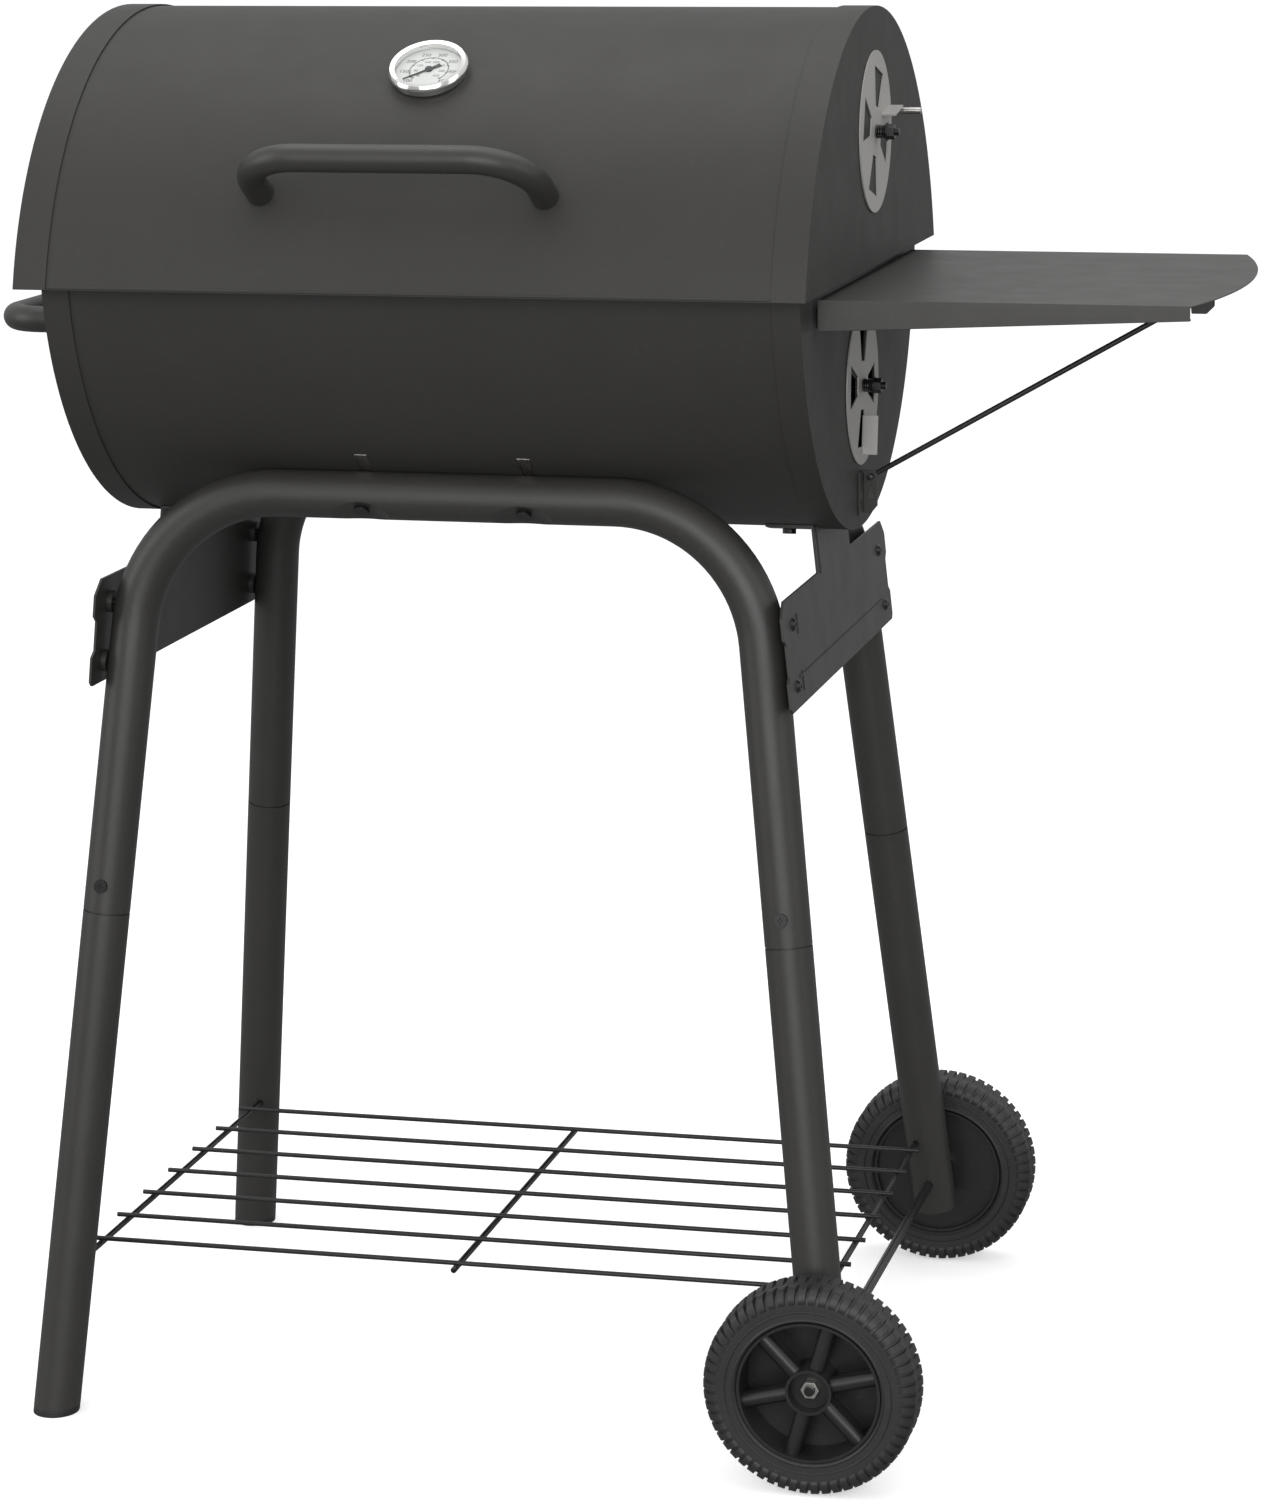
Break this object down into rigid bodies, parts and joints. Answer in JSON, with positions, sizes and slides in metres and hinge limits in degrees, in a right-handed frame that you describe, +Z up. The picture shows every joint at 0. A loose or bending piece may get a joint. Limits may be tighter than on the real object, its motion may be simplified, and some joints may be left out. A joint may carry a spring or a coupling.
{
  "type": "barrel charcoal grill",
  "caption": "Horizontal barrel charcoal grill with a hinged lid, fold-down side table, air dampers and a wire shelf on a wheeled tube stand.",
  "frame": {"origin": "on the floor, below the middle of the whole grill's bounding box", "axes": "+X to the side table and wheels, +Y from the lid handle at the front to the hinges at the back, +Z up"},
  "size_m": [1.0191, 0.6044, 1.1405],
  "materials": {
    "barrel_paint": "satin powder coat, dark charcoal",
    "table_paint": "satin powder coat, dark charcoal",
    "frame_paint": "satin powder coat, dark charcoal",
    "black_steel": "black oxide, slightly glossy",
    "zinc": "bright zinc plate",
    "damper_steel": "matt aluminised sheet",
    "bezel_chrome": "polished",
    "dial_face": "matt white print",
    "lens_glass": "clear",
    "needle_paint": "black enamel",
    "wire_steel": "dark coated wire",
    "grate_chrome": "plated wire",
    "coal_grate_steel": "dull steel wire",
    "tyre_rubber": "moulded, matt",
    "wheel_plastic": "moulded",
    "foot_plastic": "moulded"
  },
  "bodies": {
    "stand": {"axle": "black_steel", "axle_nuts": "zinc", "barrel_mount_bolts": "black_steel", "barrel_mount_nuts": "zinc", "charcoal_grate_rails": "frame_paint", "cooking_grate_rails": "frame_paint", "end_plate_bolts": "black_steel", "firebox_damper_bolt": "black_steel", "firebox_damper_nut": "black_steel", "firebox_damper_spring": "black_steel", "firebox_left_cap": "barrel_paint", "firebox_right_cap": "barrel_paint", "firebox_shell": "barrel_paint", "foot_plugs": "foot_plastic", "front_frame_tube": "frame_paint", "front_left_leg": "frame_paint", "front_right_leg": "frame_paint", "hinge_brackets": "frame_paint", "hinge_pins": "black_steel", "left_end_plate": "frame_paint", "leg_screws": "black_steel", "rear_frame_tube": "frame_paint", "rear_left_leg": "frame_paint", "rear_right_leg": "frame_paint", "right_end_plate": "frame_paint", "rod_bracket": "table_paint", "saddle_washers": "zinc", "side_handle": "frame_paint", "side_handle_screws": "zinc", "table_brackets": "table_paint", "table_hinge_pins": "black_steel", "wire_shelf": "wire_steel"},
    "lid": {"lid_shell": "barrel_paint", "lid_left_cap": "barrel_paint", "lid_right_cap": "barrel_paint", "lid_handle": "frame_paint", "lid_handle_screws": "zinc", "hinge_leaves": "frame_paint", "thermometer_case": "bezel_chrome", "thermometer_dial": "dial_face", "thermometer_lens": "lens_glass", "thermometer_nut": "zinc", "lid_damper_bolt": "black_steel", "lid_damper_spring": "black_steel", "lid_damper_nut": "black_steel"},
    "lid_damper": {"lid_damper_disc": "damper_steel", "lid_damper_pin": "zinc"},
    "firebox_damper": {"firebox_damper_disc": "damper_steel"},
    "thermometer_needle": {"thermometer_needle": "needle_paint"},
    "front_wheel": {"front_wheel_tyre": "tyre_rubber", "front_wheel_rim": "wheel_plastic"},
    "rear_wheel": {"rear_wheel_tyre": "tyre_rubber", "rear_wheel_rim": "wheel_plastic"},
    "side_table": {"side_table": "table_paint", "table_hinge_ears": "table_paint", "rod_catch": "table_paint"},
    "support_rod": {"support_rod": "wire_steel"},
    "left_cooking_grate": {"left_cooking_grate": "grate_chrome"},
    "right_cooking_grate": {"right_cooking_grate": "grate_chrome"},
    "charcoal_grate": {"charcoal_grate": "coal_grate_steel"}
  },
  "joints": [
    {"name": "lid_hinge", "type": "hinge", "parent": "stand", "child": "lid", "pos_m": [-0.11042, 0.271, 0.9275], "axis": [-1, 0, 0], "range_deg": [0, 90]},
    {"name": "lid_damper_turn", "type": "hinge", "parent": "lid", "child": "lid_damper", "pos_m": [0.20508, 0, 1.041], "axis": [1, 0, 0], "range_deg": [0, 45]},
    {"name": "firebox_damper_turn", "type": "hinge", "parent": "stand", "child": "firebox_damper", "pos_m": [0.19398, 0, 0.8365], "axis": [1, 0, 0], "range_deg": [0, 45]},
    {"name": "needle_turn", "type": "hinge", "parent": "lid", "child": "thermometer_needle", "pos_m": [-0.11843, -0.15073, 1.09373], "axis": [0, -0.5519, 0.8339], "range_deg": [-270, 0]},
    {"name": "front_wheel_spin", "type": "hinge", "parent": "stand", "child": "front_wheel", "pos_m": [0.20959, 0, 0.086], "axis": [0, 1, 0], "continuous": true},
    {"name": "rear_wheel_spin", "type": "hinge", "parent": "stand", "child": "rear_wheel", "pos_m": [0.20959, 0, 0.086], "axis": [0, 1, 0], "continuous": true},
    {"name": "table_fold", "type": "hinge", "parent": "stand", "child": "side_table", "pos_m": [0.20758, 0, 0.91], "axis": [0, 1, 0], "range_deg": [0, 85]},
    {"name": "rod_swing", "type": "hinge", "parent": "stand", "child": "support_rod", "pos_m": [0.20197, 0, 0.762], "axis": [0, 1, 0], "range_deg": [0, 119.6]},
    {"name": "left_cooking_grate_lift", "type": "slide", "parent": "stand", "child": "left_cooking_grate", "axis": [0, 0, 1], "range_m": [0, 0.05]},
    {"name": "right_cooking_grate_lift", "type": "slide", "parent": "stand", "child": "right_cooking_grate", "axis": [0, 0, 1], "range_m": [0, 0.05]},
    {"name": "charcoal_grate_lift", "type": "slide", "parent": "stand", "child": "charcoal_grate", "axis": [0, 0, 1], "range_m": [0, 0.09]}
  ],
  "couplings": [
    {"joint": "rod_swing", "follows": "table_fold", "ratio": 1.4059}
  ]
}
